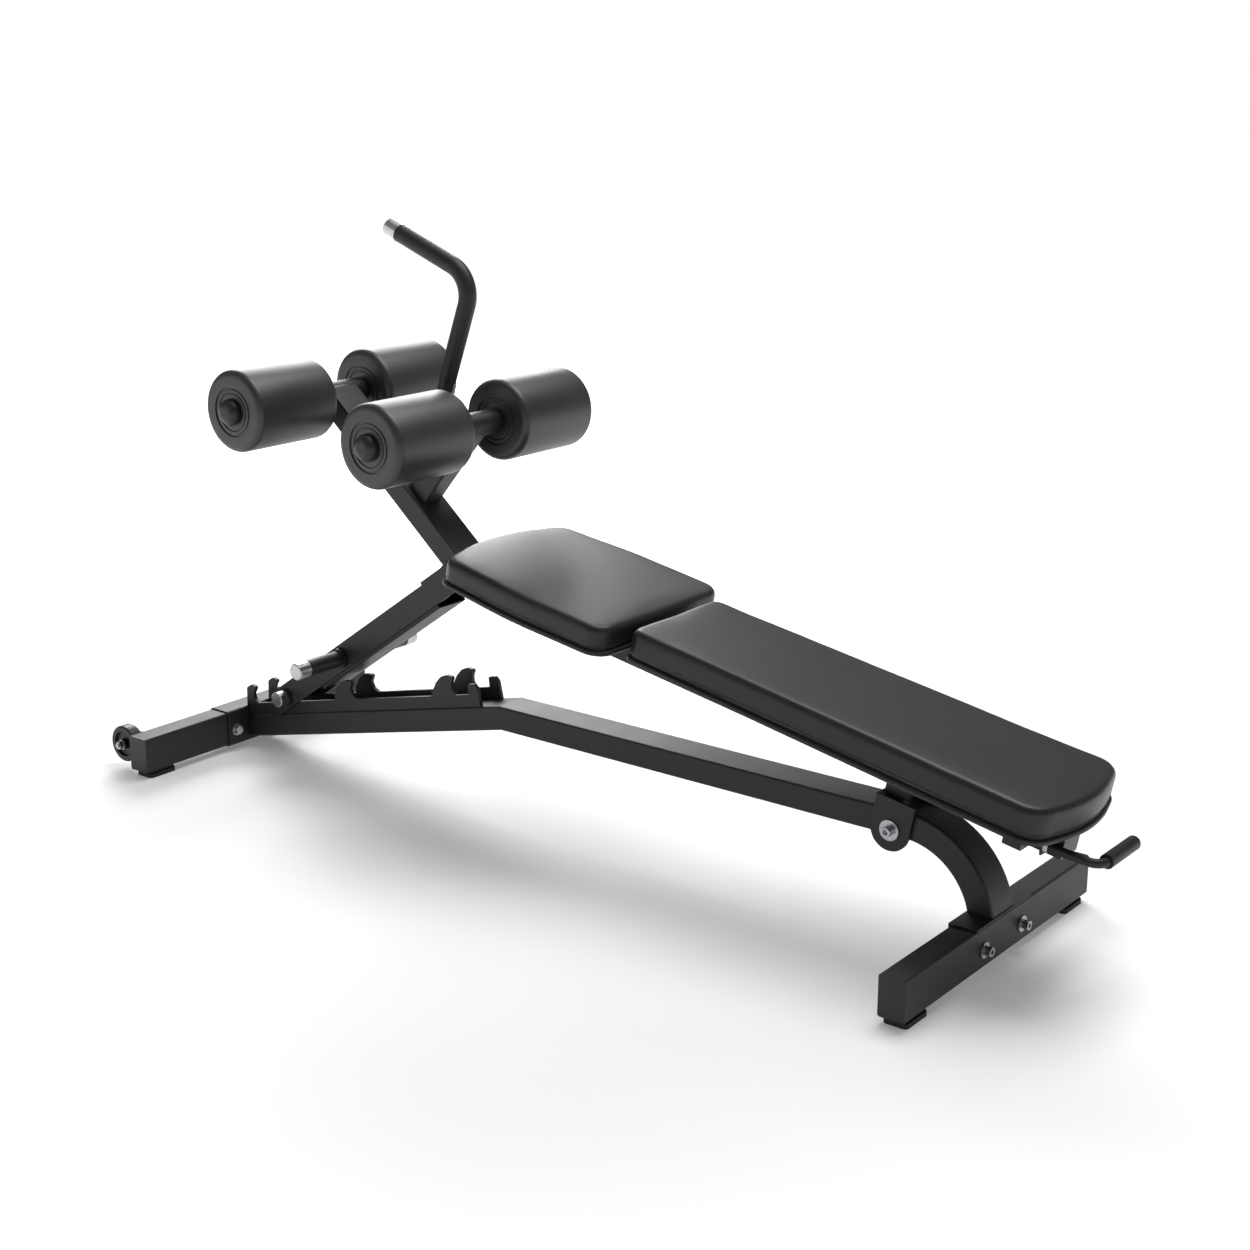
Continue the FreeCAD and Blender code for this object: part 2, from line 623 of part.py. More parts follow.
save("pivot_washers", [on_frame(w) for w in both(ring_y(0, 0, 46.0, 49.0, 19.0, PIVOT_R))])
pivot_nut = hexagon((0, 49.0, 0), (0, 58.0, 0), 22.0).cut(rod_y(0, 0, 40, 70, PIVOT_R))
save("pivot_nut", [on_frame(pivot_nut)])

# ================================================================ pads
strap_n0 = FRAME_N + FRAME_SIDE
strap_n1 = strap_n0 + STRAP_T
seat_low = strap_n1 + 2.0
back_low = strap_n0 + 0.5
pad_edge = 197.8


def straps(ts, half):
    out = []
    for t in ts:
        strap = bar(44.0, half, strap_n0, strap_n1, 2.9)
        strap.translate(vec(t - 22.0, 0, 0))
        strap = strap.cut(rod((t, 0, 120), (t, 0, 160), pad_bolt_r))
        out.append(on_frame(strap))
    return out


save("pad_straps", straps(bolt_ts[:2], 120.0) + straps(bolt_ts[2:], 92.0))

seat_pts = [(-566.0, -194.0), (-566.0, 194.0), (-780.0, 200.0), (-979.0, 181.0), (-1024.0, 0.0),
            (-979.0, -181.0), (-780.0, -200.0)]
seat_radii = [42.0, 42.0, 700.0, 40.0, 420.0, 40.0, 700.0]
back_pts = [(-556.0, -139.0), (-556.0, 139.0), (304.0, 155.0), (346.0, 0.0), (304.0, -155.0)]
back_radii = [26.0, 26.0, 52.0, 330.0, 52.0]


def inset(points, radii, amount):
    """Outline moved inwards by amount, corner radii reduced to match."""
    n = len(points)
    out = []
    for i in range(n):
        p = vec(points[i][0], points[i][1], 0)
        a = vec(points[i - 1][0], points[i - 1][1], 0)
        b = vec(points[(i + 1) % n][0], points[(i + 1) % n][1], 0)
        u = (a - p).normalize()
        w = (b - p).normalize()
        half = u.getAngle(w) / 2.0
        q = p + (u + w).normalize() * (amount / math.sin(half))
        out.append((q.x, q.y))
    return out, [max(r - amount, 3.0) for r in radii]


def pad(points, radii, board, low):
    rim = prism(points, radii, low, low + 10.0)
    rim = rim.makeFillet(3.5, [e for e in rim.Edges if e.BoundBox.ZLength < 0.01])
    p2, r2 = inset(points, radii, 3.0)
    neck = prism(p2, r2, low + 5.0, low + 16.0)
    p3, r3 = inset(points, radii, 2.0)
    crown = prism(p3, r3, low + 12.5, pad_edge + 4.0)
    top = [e for e in crown.Edges if e.BoundBox.ZMin > pad_edge + 3.9]
    crown = crown.makeFillet(15.0, top)
    p4, r4 = inset(points, radii, 9.0)
    hollow = prism(p4, r4, strap_n0, strap_n1)
    return cut(fuse([rim, neck, crown]), [board, hollow])


def board_for(points, radii):
    p, r = inset(points, radii, 9.0)
    return prism(p, r, strap_n1, strap_n1 + BOARD_T)


seat_board = board_for(seat_pts, seat_radii)
back_board = board_for(back_pts, back_radii)
seat_tools = [rod((t, 0, 140), (t, 0, 160), pad_bolt_r) for t in bolt_ts[:2]]
back_tools = [rod((t, 0, 140), (t, 0, 160), pad_bolt_r) for t in bolt_ts[2:]]
save("seat_pad", [on_frame(pad(seat_pts, seat_radii, seat_board, seat_low))])
save("back_pad", [on_frame(pad(back_pts, back_radii, back_board, back_low))])
save("seat_board", [on_frame(cut(seat_board, seat_tools))])
save("back_board", [on_frame(cut(back_board, back_tools))])


def pad_bolt(t):
    shank = rod((t, 0, FRAME_N - 2), (t, 0, strap_n1 + BOARD_T - 1), pad_bolt_r)
    head = rod((t, 0, FRAME_N - 4.5), (t, 0, FRAME_N), 9.0)
    head = head.makeFillet(2.0, [e for e in head.Edges if e.BoundBox.ZMax < FRAME_N - 4.4])
    return on_frame(shank.fuse(head))


save("pad_bolts", [pad_bolt(t) for t in bolt_ts])

# ================================================================ rear of the frame
stub = bar(34.0, 26.0, 87.0, 114.0, 4.0)
stub.translate(vec(stub_t - 17.0, 0, 0))
stub.translate(vec(0, 56.0, 0))
save("rear_stop_stubs", [on_frame(s) for s in both(stub)])
lug_x = 1046.0
lift_y = -42.0
nut_z = 252.5
lift_lug = box(lug_x, lug_x + 4, -54, -FRAME_SIDE / 2.0, nut_z - 13, nut_z + 13)
frame_outer = on_frame(bar(600, FRAME_SIDE / 2.0, FRAME_N, FRAME_N + FRAME_SIDE, CORNER))
lift_points = [(1036.0, lift_y, nut_z), (1150.0, lift_y, nut_z), (1150.0, 84.0, nut_z)]
lift = pipe(lift_points, 22.0, 8.0)
lift_turn = 6.0


def drop(shape):
    out = shape.copy()
    out.rotate(vec(lug_x + 4, lift_y, nut_z), vec(0, 1, 0), lift_turn)
    return out


lift_lug = lift_lug.cut(frame_outer)
save("lift_handle_rod", [fuse([drop(lift), lift_lug])])
lift_nut = hexagon((lug_x + 4, lift_y, nut_z), (lug_x + 13, lift_y, nut_z), 20.0)
save("lift_handle_nut", [cut(drop(lift_nut), [drop(lift), lift_lug])])
lift_grip = rod((1150.0, -18.0, nut_z), (1150.0, 88.0, nut_z), 13.0)
lift_grip = lift_grip.makeFillet(3.0, lift_grip.Edges[0:1])
save("lift_handle_grip", [drop(lift_grip).cut(drop(lift))])

# ================================================================ support leg
leg_tube = square_tube(545.0 - 120.0, LEG_Y0, -34.0, 16.0)
leg_tube.translate(vec(120.0, 0, 0))
handle_s = 217.5
handle_hole = rod_y(handle_s, 0, -60, 60, 12.5)
save("leg_tube", [put(leg_tube.cut(handle_hole), LOCK_X, LOCK_Z, LEG_SLOPE)])
plate = box(-48.0, LEG_LENGTH, LEG_Y0, LEG_Y1, -LEG_HALF_DEPTH, LEG_HALF_DEPTH)
plate = plate.fuse(rod_y(LEG_LENGTH, 0, LEG_Y0, LEG_Y1, LEG_HALF_DEPTH)).removeSplitter()
plate = cut(plate, [handle_hole, rod_y(0, 0, -60, 60, LOCK_R), rod_y(LEG_LENGTH, 0, -60, 60, HINGE_TUBE_R)])
plate = put(plate, LOCK_X, LOCK_Z, LEG_SLOPE)
save("leg_plates", both(plate))
hinge_tube = ring_y(hinge_x, hinge_z, -LEG_Y1, LEG_Y1, HINGE_TUBE_R, HINGE_R + RUNNING)
save("leg_hinge_tube", [hinge_tube])
lock_collar = rod_y(LOCK_X, LOCK_Z, LEG_Y1, LEG_Y1 + 6, 19.0)
save("lock_pin", [fuse([rod_y(LOCK_X, LOCK_Z, -68, 68, LOCK_R), lock_collar, mirror(lock_collar)])])
lock_cap = rod_y(LOCK_X, LOCK_Z, LEG_Y1 + 6, 71.5, 16.5)
lock_cap = lock_cap.makeFillet(2.0, [e for e in lock_cap.Edges if e.BoundBox.YMin > 71.0])
save("lock_pin_caps", both(lock_cap.cut(rod_y(LOCK_X, LOCK_Z, 40, 68, LOCK_R))))
hx, hz = leg_point(handle_s, 0.0)
save("cross_handle_bar", [rod_y(hx, hz, -172, 172, 12.5)])
hand_grip = ring_y(hx, hz, LEG_Y1 + 10, 144.0, 17.5, 12.5)
hand_grip = hand_grip.fuse(ring_y(hx, hz, LEG_Y1, LEG_Y1 + 10, 22.0, 12.5))
save("cross_handle_grips", both(hand_grip))
hand_cap = rod_y(hx, hz, 144.0, 175.0, 18.0)
hand_cap = hand_cap.makeFillet(3.0, [e for e in hand_cap.Edges if e.BoundBox.YMin > 174.0])
save("cross_handle_caps", both(hand_cap.cut(rod_y(hx, hz, 100, 172, 12.5))))

for name, count, bb in made:
    print(name, count, round(bb.XMin, 1), round(bb.XMax, 1), round(bb.YMin, 1), round(bb.YMax, 1),
          round(bb.ZMin, 1), round(bb.ZMax, 1))
print(len(made), "nodes")
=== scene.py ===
# %% [markdown]
# # A decline sit-up bench
# The bench is a welded steel frame with two upholstered pads, four foam
# rollers that hold the legs, and a support leg that locks in notched plates.
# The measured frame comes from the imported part: it gives every tube, bolt
# and plate. This lesson adds what the eye notices next: the swollen pads,
# the moulded rollers, and one real finish for each material.

import json
import math

import bpy
import numpy as np
from mathutils import Matrix, Vector


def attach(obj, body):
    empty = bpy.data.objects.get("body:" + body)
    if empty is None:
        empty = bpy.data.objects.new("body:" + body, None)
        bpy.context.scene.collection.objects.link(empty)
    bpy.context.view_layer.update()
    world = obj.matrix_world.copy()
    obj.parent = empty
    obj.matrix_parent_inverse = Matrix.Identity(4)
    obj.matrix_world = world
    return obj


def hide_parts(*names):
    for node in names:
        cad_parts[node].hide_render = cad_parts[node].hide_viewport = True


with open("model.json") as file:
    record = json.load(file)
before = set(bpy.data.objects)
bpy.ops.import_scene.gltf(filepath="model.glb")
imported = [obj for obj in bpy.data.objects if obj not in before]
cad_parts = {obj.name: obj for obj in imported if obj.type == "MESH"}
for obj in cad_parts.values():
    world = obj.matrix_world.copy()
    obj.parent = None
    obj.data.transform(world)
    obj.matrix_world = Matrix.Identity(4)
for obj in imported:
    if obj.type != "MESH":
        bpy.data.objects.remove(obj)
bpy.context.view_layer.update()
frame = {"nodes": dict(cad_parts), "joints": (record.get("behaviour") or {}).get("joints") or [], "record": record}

# %% [markdown]
# Operators act on everything that is selected, so each step starts by
# selecting one thing. The helpers below do that, and pick faces or edges by
# where they lie, which stays right when a size changes.

# %% Selecting things
MM = 0.001


def only(piece):
    """Select one object and make it the active one."""
    if bpy.context.mode != "OBJECT":
        bpy.ops.object.mode_set(mode="OBJECT")
    bpy.ops.object.select_all(action="DESELECT")
    piece.select_set(True)
    bpy.context.view_layer.objects.active = piece
    return piece


def pick(piece, kind, test):
    """Select the faces or edges of a piece that pass a test, in edit mode."""
    only(piece)
    bpy.ops.object.mode_set(mode="EDIT")
    bpy.ops.mesh.select_mode(type=kind)
    bpy.ops.mesh.select_all(action="DESELECT")
    bpy.ops.object.mode_set(mode="OBJECT")
    mesh = piece.data
    found = 0
    if kind == "FACE":
        for face in mesh.polygons:
            face.select = test(face.center, face.normal)
            found += face.select
    elif kind == "EDGE":
        for edge in mesh.edges:
            a, b = (mesh.vertices[i].co for i in edge.vertices)
            edge.select = test((a + b) / 2, (b - a).normalized())
            found += edge.select
    else:
        for vert in mesh.vertices:
            vert.select = test(vert.co, vert.normal)
            found += vert.select
    bpy.ops.object.mode_set(mode="EDIT")
    return found


def done(piece):
    """Leave edit mode and put the object's place into its mesh."""
    only(piece)
    bpy.ops.object.transform_apply(location=True, rotation=True, scale=True)
    return piece


def finish_with(piece, kind, **settings):
    """Add a modifier, set it and apply it."""
    only(piece)
    modifier = piece.modifiers.new(kind.title(), kind)
    for key, value in settings.items():
        setattr(modifier, key, value)
    bpy.ops.object.modifier_apply(modifier=modifier.name)
    return piece


# %% [markdown]
# The pads, frame tube and straps all lie on one slope. The pads are easiest to build flat, and `on_pad_slope` then
# tips a finished piece about the pivot bolt. The pivot comes from the imported joint; the slope is given.

# %% The slope of the pads
JOINTS = {joint["name"]: joint for joint in frame["joints"]}
PIVOT = Vector(JOINTS["frame_tilt"]["pos_m"])
PAD_SLOPE = math.radians(10.4)
TIP = Matrix.Translation(PIVOT) @ Matrix.Rotation(PAD_SLOPE, 4, "Y")
SEAT_LOW = 143.5 * MM
BACK_LOW = 136 * MM
PAD_TOP = 201.8 * MM


def on_pad_slope(piece):
    """Tip a piece that was built flat onto the slope of the pads."""
    piece.data.transform(TIP)
    return piece


print("pivot of the pad frame:", PIVOT)

# %% [markdown]
# ## Finishes
# A material is a small graph of nodes. One function adds a node, sets its
# values and links its inputs, which keeps every recipe short enough to read.
# Colours are written as sRGB hex, the way paint charts give them, and turned
# to the linear values that the renderer works in.


# %% Nodes and colours
def linear(hex_code):
    """sRGB hex to linear RGBA."""
    values = []
    for i in (0, 2, 4):
        c = int(hex_code[i : i + 2], 16) / 255
        values.append(c / 12.92 if c <= 0.04045 else ((c + 0.055) / 1.055) ** 2.4)
    return (*values, 1.0)


def node(material, kind, values=None, links=None, stops=(), **settings):
    """Add a node with its settings, values and links, and any colour stops."""
    made = material.node_tree.nodes.new(kind)
    for key, value in settings.items():
        setattr(made, key, value)
    for key, value in (values or {}).items():
        made.inputs[key].default_value = value
    for key, source in (links or {}).items():
        material.node_tree.links.new(source, made.inputs[key])
    for i, (position, colour) in enumerate(stops):
        made.color_ramp.elements[i].position = position
        made.color_ramp.elements[i].color = linear(colour)
    return made


def new_material(name, **shader):
    """A material with one Principled shader, ready for more nodes."""
    material = bpy.data.materials.new(name)
    material.use_nodes = True
    bsdf = material.node_tree.nodes["Principled BSDF"]
    for key, value in shader.items():
        bsdf.inputs[key.replace("_", " ")].default_value = value
    return material, bsdf


def join(material, source, bsdf, socket):
    """Link one output to a socket of the shader."""
    material.node_tree.links.new(source, bsdf.inputs[socket])


# %% [markdown]
# The frame is **powder coated steel**: polyester powder, sprayed dry and
# baked. It gives an even near-black with a fine orange-peel skin and a broad
# soft highlight. The peel is about 1 mm from crest to crest. A second,
# hand-sized noise varies the gloss a little, as handling does. Powder flows
# round a cut edge and leaves it a millimetre round, so edges catch the light.


# %% Powder coat
def powder_coat():
    material, bsdf = new_material("powder_coated_steel", Roughness=0.47, IOR=1.5)
    bsdf.inputs["Specular IOR Level"].default_value = 0.42
    place = node(material, "ShaderNodeTexCoord").outputs["Object"]
    peel = node(material, "ShaderNodeTexNoise", {"Scale": 900.0, "Detail": 2.0}, {"Vector": place})
    worn = node(material, "ShaderNodeTexNoise", {"Scale": 14.0, "Detail": 4.0}, {"Vector": place})
    shade = node(
        material,
        "ShaderNodeValToRGB",
        links={"Fac": worn.outputs["Fac"]},
        stops=[(0.35, "171718"), (0.65, "1D1D1F")],
    )
    join(material, shade.outputs["Color"], bsdf, "Base Color")
    gloss = node(
        material,
        "ShaderNodeMapRange",
        {"To Min": 0.4, "To Max": 0.54},
        {"Value": worn.outputs["Fac"]},
    )
    join(material, gloss.outputs["Result"], bsdf, "Roughness")
    edge = node(material, "ShaderNodeBevel", {"Radius": 1.2 * MM}, samples=4)
    skin = node(
        material,
        "ShaderNodeBump",
        {"Strength": 0.25, "Distance": 0.0004},
        {"Height": peel.outputs["Fac"], "Normal": edge.outputs["Normal"]},
    )
    join(material, skin.outputs["Normal"], bsdf, "Normal")
    return material


POWDER_COAT = powder_coat()

# %% [markdown]
# The pads are covered in **expanded vinyl**, embossed with a leather grain
# while warm. Grain cells are about 1.5 mm wide. The surface is close to
# black, with a soft sheen from the plasticiser and slightly glossier crests.


# %% Upholstery vinyl
def upholstery_vinyl():
    material, bsdf = new_material("upholstery_vinyl", Roughness=0.4, IOR=1.5)
    bsdf.inputs["Specular IOR Level"].default_value = 0.4
    bsdf.inputs["Sheen Weight"].default_value = 0.03
    bsdf.inputs["Sheen Roughness"].default_value = 0.4
    place = node(material, "ShaderNodeTexCoord").outputs["Object"]
    grain = node(
        material,
        "ShaderNodeTexVoronoi",
        {"Scale": 650.0},
        {"Vector": place},
        feature="SMOOTH_F1",
    )
    soft = node(material, "ShaderNodeTexNoise", {"Scale": 6.0, "Detail": 3.0}, {"Vector": place})
    shade = node(
        material,
        "ShaderNodeValToRGB",
        links={"Fac": soft.outputs["Fac"]},
        stops=[(0.35, "161617"), (0.65, "1C1C1D")],
    )
    join(material, shade.outputs["Color"], bsdf, "Base Color")
    gloss = node(
        material,
        "ShaderNodeMapRange",
        {"To Min": 0.36, "To Max": 0.46},
        {"Value": grain.outputs["Distance"]},
    )
    join(material, gloss.outputs["Result"], bsdf, "Roughness")
    emboss = node(
        material,
        "ShaderNodeBump",
        {"Strength": 0.3, "Distance": 0.0005},
        {"Height": grain.outputs["Distance"]},
    )
    join(material, emboss.outputs["Normal"], bsdf, "Normal")
    return material


VINYL = upholstery_vinyl()

# %% [markdown]
# The foam rollers have a **smooth integral skin**: polyurethane foamed in a
# mould, so the outside is closed and satin. Grips are **nitrile rubber**,
# duller, with a fine matt texture. End caps and cores are **moulded ABS**.


# %% Skins, rubber and plastic
def moulded(name, dark, light, roughness, grit, depth, shine=0.4):
    """A moulded black part: slight colour drift, and texture of one grit."""
    material, bsdf = new_material(name, Roughness=roughness, IOR=1.5)
    bsdf.inputs["Specular IOR Level"].default_value = shine
    place = node(material, "ShaderNodeTexCoord").outputs["Object"]
    drift = node(material, "ShaderNodeTexNoise", {"Scale": 9.0, "Detail": 3.0}, {"Vector": place})
    shade = node(
        material,
        "ShaderNodeValToRGB",
        links={"Fac": drift.outputs["Fac"]},
        stops=[(0.35, dark), (0.65, light)],
    )
    join(material, shade.outputs["Color"], bsdf, "Base Color")
    fine = node(
        material,
        "ShaderNodeTexNoise",
        {"Scale": 1.0 / grit, "Detail": 2.0},
        {"Vector": place},
    )
    rub = node(
        material,
        "ShaderNodeMapRange",
        {"To Min": roughness - 0.05, "To Max": roughness + 0.06},
        {"Value": drift.outputs["Fac"]},
    )
    join(material, rub.outputs["Result"], bsdf, "Roughness")
    bump = node(
        material,
        "ShaderNodeBump",
        {"Strength": 0.2, "Distance": depth},
        {"Height": fine.outputs["Fac"]},
    )
    join(material, bump.outputs["Normal"], bsdf, "Normal")
    return material


ROLLER_SKIN = moulded("integral_skin_foam", "19191A", "202021", 0.44, 1.4 * MM, 0.0003, 0.7)
GRIP_RUBBER = moulded("nitrile_rubber", "151516", "1B1B1C", 0.48, 0.9 * MM, 0.0003)
ABS = moulded("moulded_abs", "19191A", "212122", 0.38, 0.8 * MM, 0.0002)
FOOT_RUBBER = moulded("natural_rubber", "1A1A1A", "232323", 0.65, 1.0 * MM, 0.0004)

# %% [markdown]
# Bright parts are metal all through. Bolts and washers are **zinc plated**:
# cool, slightly uneven. Handle caps are **turned aluminium**, with fine rings
# left by the lathe, about half a millimetre apart.


# %% Metals
def zinc_plate():
    material, bsdf = new_material("zinc_plated_steel", Metallic=1.0, Roughness=0.24)
    place = node(material, "ShaderNodeTexCoord").outputs["Object"]
    spangle = node(material, "ShaderNodeTexNoise", {"Scale": 160.0, "Detail": 3.0}, {"Vector": place})
    shade = node(
        material,
        "ShaderNodeValToRGB",
        links={"Fac": spangle.outputs["Fac"]},
        stops=[(0.35, "9C9EA1"), (0.65, "BDBFC1")],
    )
    join(material, shade.outputs["Color"], bsdf, "Base Color")
    gloss = node(
        material,
        "ShaderNodeMapRange",
        {"To Min": 0.18, "To Max": 0.34},
        {"Value": spangle.outputs["Fac"]},
    )
    join(material, gloss.outputs["Result"], bsdf, "Roughness")
    return material


def turned_aluminium():
    material, bsdf = new_material("turned_aluminium", Metallic=1.0, Roughness=0.3)
    place = node(material, "ShaderNodeTexCoord").outputs["Object"]
    rings = node(
        material,
        "ShaderNodeTexWave",
        {"Scale": 320.0, "Distortion": 1.5, "Detail": 2.0},
        {"Vector": place},
        bands_direction="Y",
    )
    shade = node(
        material,
        "ShaderNodeValToRGB",
        links={"Fac": rings.outputs["Fac"]},
        stops=[(0.2, "A5A6A9"), (0.8, "C6C7C9")],
    )
    join(material, shade.outputs["Color"], bsdf, "Base Color")
    bump = node(
        material,
        "ShaderNodeBump",
        {"Strength": 0.15, "Distance": 0.0001},
        {"Height": rings.outputs["Fac"]},
    )
    join(material, bump.outputs["Normal"], bsdf, "Normal")
    return material


ZINC = zinc_plate()
ALUMINIUM = turned_aluminium()

# %% [markdown]
# The boards inside the pads are **birch plywood**. Only the underside shows,
# so it has a straight grain along the bench.


# %% Plywood
def plywood():
    material, bsdf = new_material("birch_plywood", Roughness=0.6, IOR=1.5)
    place = node(material, "ShaderNodeTexCoord").outputs["Object"]
    stretched = node(material, "ShaderNodeMapping", links={"Vector": place})
    stretched.inputs["Scale"].default_value = (6.0, 90.0, 90.0)
    grain = node(
        material,
        "ShaderNodeTexNoise",
        {"Scale": 3.0, "Detail": 5.0},
        {"Vector": stretched.outputs["Vector"]},
    )
    shade = node(
        material,
        "ShaderNodeValToRGB",
        links={"Fac": grain.outputs["Fac"]},
        stops=[(0.35, "8A6A45"), (0.65, "B08E62")],
    )
    join(material, shade.outputs["Color"], bsdf, "Base Color")
    bump = node(
        material,
        "ShaderNodeBump",
        {"Strength": 0.2, "Distance": 0.0003},
        {"Height": grain.outputs["Fac"]},
    )
    join(material, bump.outputs["Normal"], bsdf, "Normal")
    return material


PLYWOOD = plywood()

# %% [markdown]
# Every node of the frame keeps its shape and takes the finish that its slot
# in the record names.

# %% Finishes on the frame
SLOT_FINISH = {
    "black_coat": POWDER_COAT,
    "vinyl": VINYL,
    "roller_skin": ROLLER_SKIN,
    "plastic": ABS,
    "grip_rubber": GRIP_RUBBER,
    "pad_rubber": FOOT_RUBBER,
    "zinc": ZINC,
    "silver_cap": ALUMINIUM,
    "board": PLYWOOD,
}


def give(piece, material):
    piece.data.materials.clear()
    piece.data.materials.append(material)
    return piece


for part in frame["record"]["subparts"]:
    give(frame["nodes"][part["node"]], SLOT_FINISH[part["material_slot"]])

# %% [markdown]
# ## The pads
# Each pad is a plywood board under firm foam, with vinyl pulled over it and stapled below. A moulded rim hides the
# staples: a rolled bead round the foot of the side wall, with a thin groove above it. The outline comes first, as
# a polygon whose corners are drawn as arcs. It is extruded, and the top edge is rounded with the bevel operator.

# %% Pad outlines
SEAT_CORNERS = [
    (-566, -194, 42),
    (-566, 194, 42),
    (-780, 200, 700),
    (-979, 181, 40),
    (-1024, 0, 420),
    (-979, -181, 40),
    (-780, -200, 700),
]
BACK_CORNERS = [(-556, -139, 26), (-556, 139, 26), (304, 155, 52), (346, 0, 330), (304, -155, 52)]


def outline_points(corners, inset):
    """Points along an outline whose corners are arcs, moved in by inset."""
    points = []
    for i, (along, across, radius) in enumerate(corners):
        here = Vector((along, across))
        back = (Vector(corners[i - 1][:2]) - here).normalized()
        ahead = (Vector(corners[(i + 1) % len(corners)][:2]) - here).normalized()
        half = back.angle(ahead) / 2
        centre = here + (back + ahead).normalized() * (radius / math.sin(half))
        start = here + back * (radius / math.tan(half)) - centre
        turn = start.angle_signed(here + ahead * (radius / math.tan(half)) - centre)
        steps = max(3, round(abs(turn) * radius / 8))
        for k in range(steps + 1):
            arm = Matrix.Rotation(-turn * k / steps, 2) @ start
            points.append(centre + arm * ((radius - inset) / radius))
    return points


def rounded_outline(name, corners, inset, height):
    """One flat face in the shape of an outline."""
    points = outline_points(corners, inset)
    bpy.ops.object.select_all(action="DESELECT")
    bpy.ops.mesh.primitive_circle_add(vertices=len(points), fill_type="NGON")
    piece = bpy.context.object
    piece.name = name
    for vert, point in zip(piece.data.vertices, points):
        vert.co = (point.x * MM, point.y * MM, height)
    pick(piece, "FACE", lambda c, n: True)
    bpy.ops.mesh.normals_make_consistent(inside=False)
    return only(piece)


def raise_face(piece, level, by, inset=0.0):
    """Push the face at a level up by a distance, after an optional inset."""
    pick(piece, "FACE", lambda c, n: abs(c.z - level) < 0.0002 and abs(n.z) > 0.9)
    if inset:
        bpy.ops.mesh.inset(thickness=inset, use_even_offset=True)
    bpy.ops.mesh.extrude_region_move(TRANSFORM_OT_translate={"value": (0, 0, by)})
    only(piece)


# %% [markdown]
# The foam pushes the vinyl out. A cloth simulation with a little pressure
# does the same: the flat top crowns and the side walls belly out between the
# corners. The pad is first remeshed into even quads, so that it stretches
# evenly, and a point may only move a few millimetres, because the foam is
# firm. Averaging the moves of neighbouring points afterwards takes out the
# wrinkles that tight vinyl doesn't have.


# %% Swelling a pad
def remesh(piece, size):
    only(piece)
    piece.data.remesh_voxel_size = size
    bpy.ops.object.voxel_remesh()
    return piece


def swell(piece, pressure, cap):
    """Blow the piece up as tight cloth, and keep each point within cap."""
    count = len(piece.data.vertices)
    before = np.empty(count * 3)
    piece.data.vertices.foreach_get("co", before)
    edges = np.empty(len(piece.data.edges) * 2, dtype=int)
    piece.data.edges.foreach_get("vertices", edges)
    one, two = edges.reshape(-1, 2).T
    only(piece)
    cloth = piece.modifiers.new("Cloth", "CLOTH")
    cloth.settings.use_pressure = True
    cloth.settings.uniform_pressure_force = pressure
    cloth.settings.effector_weights.gravity = 0
    cloth.settings.quality = 5
    cloth.settings.tension_stiffness = 25
    cloth.settings.compression_stiffness = 25
    cloth.settings.bending_stiffness = 6
    cloth.point_cache.frame_start = 1
    cloth.point_cache.frame_end = 20
    for step in range(1, 21):
        bpy.context.scene.frame_set(step)
    bpy.ops.object.modifier_apply(modifier=cloth.name)
    after = np.empty(count * 3)
    piece.data.vertices.foreach_get("co", after)
    move = (after - before).reshape(-1, 3)
    length = np.linalg.norm(move, axis=1, keepdims=True)
    print(piece.name, "wanted to move", round(float(length.max()) * 1000, 1), "mm")
    move *= np.minimum(1, cap / np.maximum(length, 1e-9))
    degree = np.bincount(edges, minlength=count).reshape(-1, 1)
    for _ in range(40):
        total = np.zeros_like(move)
        np.add.at(total, one, move[two])
        np.add.at(total, two, move[one])
        move = 0.5 * move + 0.5 * total / degree
    piece.data.vertices.foreach_set("co", (before.reshape(-1, 3) + move).ravel())
    bpy.context.scene.frame_set(1)
    return piece


# %% Cushion
def cushion(name, corners, low):
    """The swollen upper of a pad, from the groove to the crown."""
    piece = rounded_outline(name, corners, 2, low + 12 * MM)
    raise_face(piece, low + 12 * MM, PAD_TOP - 4 * MM - low - 12 * MM)
    pick(piece, "EDGE", lambda c, d: abs(c.z - PAD_TOP + 4 * MM) < 0.0002)
    bpy.ops.mesh.bevel(offset=13 * MM, segments=7, affect="EDGES", clamp_overlap=False)
    remesh(piece, 5.5 * MM)
    swell(piece, 3.0, 3.5 * MM)
    finish_with(piece, "SMOOTH", factor=0.5, iterations=2)
    finish_with(piece, "SUBSURF", levels=1, render_levels=1)
    only(piece)
    bpy.ops.object.shade_smooth()
    give(piece, VINYL)
    on_pad_slope(piece)
    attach(piece, "pad_frame")
    return piece


seat_cushion = cushion("seat_cushion", SEAT_CORNERS, SEAT_LOW)
back_cushion = cushion("back_cushion", BACK_CORNERS, BACK_LOW)
print("cushion faces:", len(seat_cushion.data.polygons), len(back_cushion.data.polygons))

# %% [markdown]
# The rim is one bead that runs round the pad. It starts as the same outline,
# is extruded to its height, and its two edges are rounded with a bevel. A
# narrower neck stands on it and leaves the dark groove under the cushion.


# %% Rim bead
def rim(name, corners, low):
    """The rolled rim under a cushion, with the neck that makes the groove."""
    piece = rounded_outline(name, corners, 0.3, low)
    raise_face(piece, low, 10 * MM)
    pick(piece, "EDGE", lambda c, d: abs(d.z) < 0.1)
    bpy.ops.mesh.bevel(offset=4 * MM, segments=5, affect="EDGES", clamp_overlap=False)
    raise_face(piece, low + 10 * MM, 9 * MM, inset=4 * MM)
    only(piece)
    bpy.ops.object.shade_smooth_by_angle(angle=math.radians(50))
    give(piece, VINYL)
    on_pad_slope(piece)
    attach(piece, "pad_frame")
    return piece


